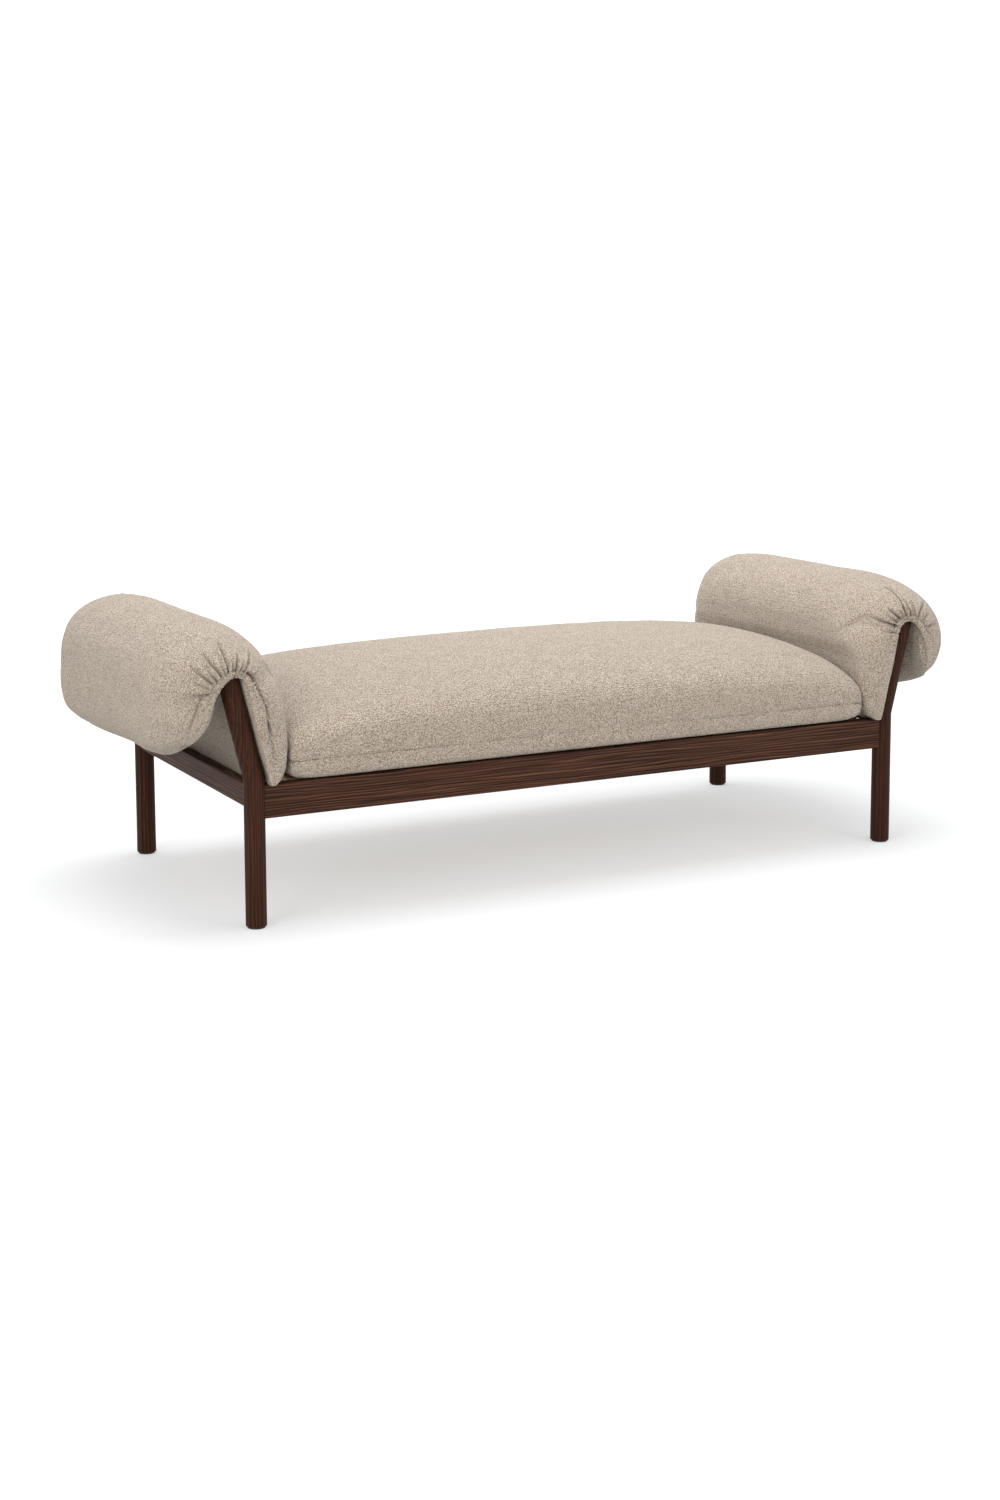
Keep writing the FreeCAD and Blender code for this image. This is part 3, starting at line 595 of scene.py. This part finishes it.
def gathered(outer, station, creases, near_end, seed):
    """How far each point of the outer skin moves along its normal at one gathered end."""
    reach = int(outer.shape[1] * END_SHARE)
    part = outer[:, :reach] if near_end else outer[:, ::-1][:, :reach]
    steps = np.linalg.norm(np.diff(part, axis=1), axis=2)
    distance = np.concatenate([np.zeros((len(part), 1)), np.cumsum(steps, axis=1)], axis=1)
    spacing = np.linalg.norm(np.gradient(part, axis=0), axis=2) / np.gradient(station)[:, None]
    rows = station[:, None]
    shift = np.zeros(distance.shape)
    for crease in creases:
        shift -= crease_depth(rows, spacing, distance, crease)
    first, last, fade = ARCH
    arch = eased((rows - first) / fade) * eased((last - rows) / fade)
    casing = BAND + (1 - arch) * BAND_WIDER
    stitch = np.exp(-((distance - casing) / STITCH[0]) ** 2) * STITCH[1] * (0.3 + 0.7 * arch)
    belt = np.exp(-((distance - casing * 0.5) / (casing * 0.55)) ** 2)
    puff = np.exp(-((distance - casing - PUFF[0]) / PUFF[1]) ** 2)
    shift += pleats(part[:, 0], seed) * arch * (RIPPLE[0] * belt + RIPPLE[1] * puff)
    shift += BELT * belt * arch - stitch
    whole = np.zeros(outer.shape[:2])
    if near_end:
        whole[:, :reach] = shift
    else:
        whole[:, ::-1][:, :reach] = shift
    return whole


def unevenness(outer, station, seed):
    """Soft seeded waves over the skin, fading out at the hems."""
    columns = outer.shape[1]
    away = np.minimum(np.arange(columns), np.arange(columns)[::-1])[None, :] / columns
    last = len(STATIONS) - 1
    free = eased(away / PAD_FADE[0]) * eased(np.minimum(station, last - station) / PAD_FADE[1])[:, None]
    return sum(waves(outer, size, seed + added) * height for size, height, added in PAD_WAVES) * free


def bolster(name, side, front_creases, back_creases, seed):
    """One bolster: filled by simulation, then gathered at both ends and held clear of the seat."""
    rows, columns = BOLSTER_FINE
    outer, inner, station = bolster_sheets(rows, columns)
    points, faces, index, back_index = two_sheets(*bolster_sheets(*BOLSTER_COARSE)[:2])
    held = np.unique(np.concatenate([index[:, 0], index[:, -1], back_index[1:-1, 1:-1].ravel()]))
    shift = inflated(points, faces, BOLSTER_FILL, held)
    outer = outer + resampled(shift[index], rows, columns)
    normals = grid_normals(outer)
    if ((outer - outer.mean(axis=(0, 1))) * normals).sum() < 0:
        normals = -normals
    shift = gathered(outer, station, front_creases, True, seed)
    shift += gathered(outer, station, back_creases, False, seed + 1)
    shift += unevenness(outer, station, seed)
    outer = outer + normals * shift[..., None]
    beside_seat = eased((SEAT_REACH - outer[..., 2]) / SEAT_FADE)
    outer[..., 0] += np.maximum(SEAT_BOX[1].x + SEAT_GAP - outer[..., 0], 0) * beside_seat
    points, faces, _, _ = two_sheets(outer, inner)
    points[:, 0] *= side
    if side < 0:
        faces = faces[:, ::-1]
    return mesh_piece(name, points, faces)


# ---- materials ----


class Nodes:
    """A short way to write a material's node tree."""

    def __init__(self, name):
        self.material = bpy.data.materials.new(name)
        self.material.use_nodes = True
        self.tree = self.material.node_tree
        self.shader = self.tree.nodes["Principled BSDF"]

    def feed(self, socket, value):
        """Links an output to a socket, or sets the socket to a plain value."""
        if isinstance(value, bpy.types.NodeSocket):
            self.tree.links.new(value, socket)
        elif socket.type == "RGBA" and len(value) == 3:
            socket.default_value = (*value, 1)
        else:
            socket.default_value = value

    def add(self, kind, sockets, **properties):
        """A node with its properties set and its sockets fed, by name or number."""
        node = self.tree.nodes.new(kind)
        for key, value in properties.items():
            setattr(node, key, value)
        for key, value in sockets.items():
            self.feed(node.inputs[key], value)
        return node

    def set(self, **values):
        """Outputs or plain values on the shader's own sockets."""
        for key, value in values.items():
            self.feed(self.shader.inputs[key.replace("_", " ")], value)

    def ramp(self, source, stops):
        """A colour ramp over a value, from (position, colour) pairs."""
        node = self.add("ShaderNodeValToRGB", {"Fac": source})
        elements = node.color_ramp.elements
        while len(elements) < len(stops):
            elements.new(0.5)
        for element, (position, colour) in zip(elements, stops):
            element.position = position
            element.color = (*colour, 1)
        return node.outputs["Color"]

    def coordinates(self, scale):
        """Object coordinates stretched by a scale on each axis."""
        source = self.add("ShaderNodeTexCoord", {}).outputs["Object"]
        return self.add("ShaderNodeMapping", {"Vector": source, "Scale": scale}).outputs["Vector"]

    def noise(self, vector, scale, detail=2.0, roughness=0.5):
        """A noise value."""
        sockets = {"Vector": vector, "Scale": scale, "Detail": detail, "Roughness": roughness}
        return self.add("ShaderNodeTexNoise", sockets).outputs["Fac"]

    def bands(self, vector, direction, sockets, profile="SIN"):
        """Bands across one axis."""
        sockets = {"Vector": vector, **sockets}
        node = self.add("ShaderNodeTexWave", sockets, bands_direction=direction, wave_profile=profile)
        return node.outputs["Fac"]

    def math(self, operation, a, b):
        """Arithmetic on two values or numbers."""
        return self.add("ShaderNodeMath", {0: a, 1: b}, operation=operation).outputs[0]

    def sum(self, *parts):
        """The sum of (value, factor) pairs."""
        terms = [value if factor == 1 else self.math("MULTIPLY", value, factor) for value, factor in parts]
        total = terms[0]
        for term in terms[1:]:
            total = self.math("ADD", total, term)
        return total

    def tinted(self, a, b):
        """One colour multiplied by another."""
        node = self.add("ShaderNodeMix", {}, data_type="RGBA", blend_type="MULTIPLY")
        for socket, value in ((node.inputs[0], 1.0), (node.inputs[6], a), (node.inputs[7], b)):
            self.feed(socket, value)
        return node.outputs[2]

    def bump(self, height, strength, distance):
        """Bump from a height, into the shader."""
        sockets = {"Height": height, "Strength": strength, "Distance": distance}
        self.set(Normal=self.add("ShaderNodeBump", sockets).outputs["Normal"])


def grey(value):
    """A neutral colour."""
    return (value,) * 3


EVEN = (1, 1, 1)
NUB_SCALE = 340
WEAVE_PITCH = 0.0033
YARN = (
    (0.30, (0.260, 0.207, 0.152)),
    (0.45, (0.492, 0.416, 0.334)),
    (0.58, (0.645, 0.560, 0.466)),
    (0.74, (0.775, 0.695, 0.595)),
)
STAIN = (
    (0.32, (0.0085, 0.0032, 0.0020)),
    (0.47, (0.034, 0.0135, 0.0075)),
    (0.60, (0.080, 0.0330, 0.0180)),
    (0.74, (0.165, 0.0720, 0.0400)),
)
STAIN_MIDDLE = 0.53  # the grain value that a lower contrast draws towards
PALE = ((0.35, (0.42, 0.27, 0.145)), (0.52, (0.60, 0.43, 0.26)), (0.7, (0.71, 0.54, 0.35)))


def boucle_fabric():
    """Oatmeal boucle: looped nubs in four tones over a plain weave."""
    n = Nodes("boucle_fabric")
    even = n.coordinates(EVEN)
    warp = n.noise(even, 160, 2)
    shove = n.add("ShaderNodeVectorMath", {0: warp, "Scale": 0.004}, operation="SCALE")
    bent = n.add("ShaderNodeVectorMath", {0: even, 1: shove.outputs[0]}, operation="ADD")
    nubs = n.add("ShaderNodeTexVoronoi", {"Vector": bent.outputs[0], "Scale": NUB_SCALE})
    loop = n.math("SUBTRACT", 1.0, n.math("MULTIPLY", nubs.outputs["Distance"], 1.25))
    yarn = n.ramp(n.noise(even, 620, 3, 0.75), YARN)
    # The gaps between the loops are painted darker: painted shading in the hollows of the boucle.
    shaded = n.ramp(loop, [(0.12, (0.52, 0.47, 0.42)), (0.5, (0.95, 0.94, 0.93)), (0.85, grey(1.0))])
    cloud = n.ramp(n.noise(even, 26, 3, 0.55), [(0.3, (0.90, 0.885, 0.87)), (0.7, grey(1.0))])
    weave = {"Scale": math.pi / 10 / WEAVE_PITCH, "Distortion": 2.5, "Detail": 2.0, "Detail Scale": 1.0}
    threads = [(n.bands(even, direction, weave), 0.4) for direction in "XY"]
    n.bump(n.sum((loop, 1), (n.noise(even, 620, 3), 0.9), *threads), 1.0, 0.0032)
    n.set(Base_Color=n.tinted(n.tinted(yarn, shaded), cloud))
    n.set(Roughness=0.92, Sheen_Weight=0.25, Sheen_Roughness=0.5, Specular_IOR_Level=0.2)
    return n.material


def stained_wood(name, stretch, across, painted_shading=EVEN, contrast=1.0):
    """Dark espresso stain over open-grained wood, with the grain along one axis."""
    n = Nodes(name)
    along = n.coordinates(stretch)
    ring_shape = {"Scale": 48.0, "Distortion": 11.0, "Detail": 3.0, "Detail Scale": 0.6}
    rings = n.bands(along, across, ring_shape, "SAW")
    pores = n.noise(n.coordinates(tuple(s * s for s in stretch)), 420, 3, 0.7)
    grain = n.sum((rings, 0.24), (pores, 0.76))
    grain = n.math("ADD", n.math("MULTIPLY", grain, contrast), STAIN_MIDDLE * (1 - contrast))
    blotch = n.ramp(n.noise(along, 9, 2, 0.5), [(0.30, (0.70, 0.66, 0.64)), (0.70, grey(1.0))])
    # The last tint is painted shading: a darker copy of the stain for parts that stand in shadow.
    n.set(Base_Color=n.tinted(n.tinted(n.ramp(grain, STAIN), blotch), painted_shading))
    n.set(Roughness=n.ramp(grain, [(0.3, grey(0.62)), (0.75, grey(0.44))]), Specular_IOR_Level=0.09)
    n.bump(grain, 0.6, 0.0008)
    return n.material


def pale_wood(name, stretch):
    """Unfinished pale wood for slats, ledgers and dowels."""
    n = Nodes(name)
    along = n.coordinates(stretch)
    streak = n.noise(along, 40, 4, 0.6)
    broad = n.noise(along, 6, 2, 0.5)
    n.set(Base_Color=n.ramp(n.sum((streak, 0.6), (broad, 0.4)), PALE))
    n.set(Roughness=0.68, Specular_IOR_Level=0.3)
    n.bump(streak, 0.25, 0.0005)
    return n.material


def metal(name, colour, roughness, scratch):
    """Plated steel with faint cloudy wear."""
    n = Nodes(name)
    cloud = n.noise(n.coordinates(EVEN), scratch, 4, 0.6)
    pale = tuple(min(1.0, c * 1.12) for c in colour)
    dark = tuple(c * 0.82 for c in colour)
    n.set(Base_Color=n.ramp(cloud, [(0.35, dark), (0.65, pale)]))
    n.set(Roughness=n.ramp(cloud, [(0.35, grey(roughness + 0.12)), (0.65, grey(roughness))]))
    n.set(Metallic=1.0)
    n.bump(cloud, 0.08, 0.0003)
    return n.material


def plastic(name, colour):
    """Hard moulded plastic with a fine spark-eroded grain."""
    n = Nodes(name)
    grain = n.noise(n.coordinates(EVEN), 900, 2)
    lighter = tuple(c * 1.5 for c in colour)
    n.set(Base_Color=n.ramp(grain, [(0.3, colour), (0.7, lighter)]), Roughness=0.5)
    n.bump(grain, 0.15, 0.0003)
    return n.material


def woven_tape():
    """Ribbed tape of the zip."""
    n = Nodes("woven_tape")
    ribs = n.bands(n.coordinates(EVEN), "X", {"Scale": 260, "Distortion": 1.0})
    n.set(Base_Color=n.ramp(ribs, [(0.2, (0.24, 0.19, 0.145)), (0.8, (0.42, 0.345, 0.27))]), Roughness=0.85)
    n.bump(ribs, 0.4, 0.0004)
    return n.material


GRAIN_X = (0.09, 1, 1)  # stretch of the coordinates that lays the grain along X
GRAIN_Y = (1, 0.09, 1)
GRAIN_Z = (1, 1, 0.09)


def dress(material, *prefixes):
    """Gives a material to every CAD node whose name starts with one of the prefixes."""
    for name, node in NODES.items():
        if name.startswith(prefixes):
            node.data.materials.clear()
            node.data.materials.append(material)


def dress_frame():
    """Materials of the CAD nodes that stay in view."""
    dress(stained_wood("stained_wood_rail", GRAIN_X, "Z"), "side_rail_front", "side_rail_back")
    dress(stained_wood("stained_wood_cross", GRAIN_Y, "Z"), "end_rail_left", "end_rail_right", "crossbar")
    # Legs and posts get a darker, warmer copy of the stain: painted shading, as they stand in shadow under
    # and beside the cushions.
    dress(stained_wood("stained_wood_leg", GRAIN_Z, "X", (0.70, 0.59, 0.51), 0.65), "leg_", "post_")
    dress(pale_wood("slat_wood", GRAIN_Y), "slat_0", "slat_1")
    dress(pale_wood("ledger_wood", GRAIN_X), "ledger_front", "ledger_back", "side_rail_dowels")
    dress(pale_wood("dowel_wood", GRAIN_Z), "mitre_dowels", "end_rail_dowels")
    zinc = metal("zinc_steel", (0.62, 0.62, 0.60), 0.32, 90)
    dress(zinc, "corner_bracket", "hanger_bolts", "bracket_", "ledger_screws", "slat_screws")
    dress(ZIP_METAL, "zip_slider")
    dress(plastic("glide_plastic", (0.018, 0.016, 0.014)), "foot_glide")


# ---- stage, light and camera ----


FLOOR_HALF = 60.0  # metres, as is the fade
# Base colour and glow lean slightly blue: painted light that cancels the warm bounce in the shadow under the
# daybed.
FLOOR_TONES = ((0.3, (0.365, 0.37, 0.375)), (0.7, (0.375, 0.38, 0.385)))
FLOOR_GLOW = ((0.10, grey(0.445)), (0.5, grey(0.80)))  # distance from the middle over FLOOR_FADE, glow
FLOOR_FADE = 9
SURROUND = 1.08  # strength of the white surround


def floor():
    """A large flat pale floor that glows more further away, so that it melts into the white surround."""
    n = Nodes("floor_white")
    paper = n.noise(n.coordinates(EVEN), 3, 2)
    place = n.coordinates((1 / FLOOR_FADE,) * 3)
    away = n.add("ShaderNodeVectorMath", {0: place}, operation="LENGTH").outputs["Value"]
    # The glow is painted light: near the daybed it lifts the shadow beneath it to a lighter grey.
    n.set(Base_Color=n.ramp(paper, FLOOR_TONES), Emission_Strength=n.ramp(away, FLOOR_GLOW))
    n.set(Roughness=0.9, Specular_IOR_Level=0.1, Emission_Color=(0.99, 1, 1.012))
    size = FLOOR_HALF
    points = [(-size, -size, 0), (size, -size, 0), (size, size, 0), (-size, size, 0)]
    plane = mesh_piece("floor", points, [(0, 1, 2, 3)])
    plane.data.materials.append(n.material)


def area_light(name, place, target, size, power, colour=(1, 1, 1)):
    """A soft rectangular lamp aimed at a point."""
    lamp = bpy.data.lights.new(name, "AREA")
    lamp.shape = "RECTANGLE"
    lamp.size, lamp.size_y = size
    lamp.energy = power
    lamp.color = colour
    thing = bpy.data.objects.new(name, lamp)
    thing.location = place
    thing.rotation_mode = "QUATERNION"
    thing.rotation_quaternion = (Vector(target) - Vector(place)).to_track_quat("-Z", "Y")
    SCENE.collection.objects.link(thing)


def lights():
    """A wide soft top light, two gentle fills at the front and a white surround."""
    world = bpy.data.worlds.new("surround")
    world.use_nodes = True
    surround = world.node_tree.nodes["Background"]
    surround.inputs["Color"].default_value = (1, 1, 1, 1)
    surround.inputs["Strength"].default_value = SURROUND
    SCENE.world = world
    area_light("top", (0.2, 0.35, 3.0), (0.05, 0, 0.3), (3.4, 2.2), 102)
    area_light("left", (-3.3, -2.2, 1.8), (-0.6, 0, 0.4), (1.8, 1.8), 56, (1, 0.955, 0.90))
    area_light("front", (1.7, -3.4, 2.1), (0.5, 0, 0.4), (1.6, 1.2), 30, (1, 0.97, 0.94))


CAMERA_PLACE = (-2.4433, -4.6544, 1.3099)
CAMERA_YAW, CAMERA_PITCH, CAMERA_ROLL = 27.454, 7.472, 0.131  # degrees
CAMERA_SENSOR, CAMERA_LENS = 36, 53.41  # millimetres
CAMERA_SHIFT = (-0.00406, -0.10531)


def camera():
    """The camera at the photograph's viewing angle."""
    data = bpy.data.cameras.new("camera")
    data.sensor_width = CAMERA_SENSOR
    data.lens = CAMERA_LENS
    data.shift_x, data.shift_y = CAMERA_SHIFT
    data.clip_end = FLOOR_HALF
    thing = bpy.data.objects.new("camera", data)
    thing.location = CAMERA_PLACE
    turn = (90 - CAMERA_PITCH, CAMERA_ROLL, -CAMERA_YAW)
    thing.rotation_euler = [math.radians(angle) for angle in turn]
    SCENE.collection.objects.link(thing)
    SCENE.camera = thing


# ---- put together ----

ZIP_METAL = metal("zip_metal", (0.42, 0.38, 0.33), 0.3, 400)
fabric = boucle_fabric()
seat = seat_cushion()
seat.data.materials.append(fabric)
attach(seat, "seat_cushion")
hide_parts("seat_cover", "seat_fibre_wrap", "seat_foam_core")

tape = zip_tape()
tape.data.materials.append(woven_tape())
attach(tape, "seat_cushion")
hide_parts("seat_zip")
teeth = zip_teeth()
teeth.data.materials.append(ZIP_METAL)
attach(teeth, "seat_cushion")

# side of the daybed: direction along X, creases at the front and back ends, seed
ENDS = {"left": (-1, CREASES_A, CREASES_B, 11), "right": (1, CREASES_B, CREASES_A, 31)}
for side_name, details in ENDS.items():
    pad = bolster("bolster_" + side_name, *details)
    pad.data.materials.append(fabric)
    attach(pad, "bolster_" + side_name)
    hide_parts(*["bolster_" + part + "_" + side_name for part in ("cover", "fill", "drawcord")])

dress_frame()
floor()
lights()
camera()
SCENE.view_settings.view_transform = "Standard"
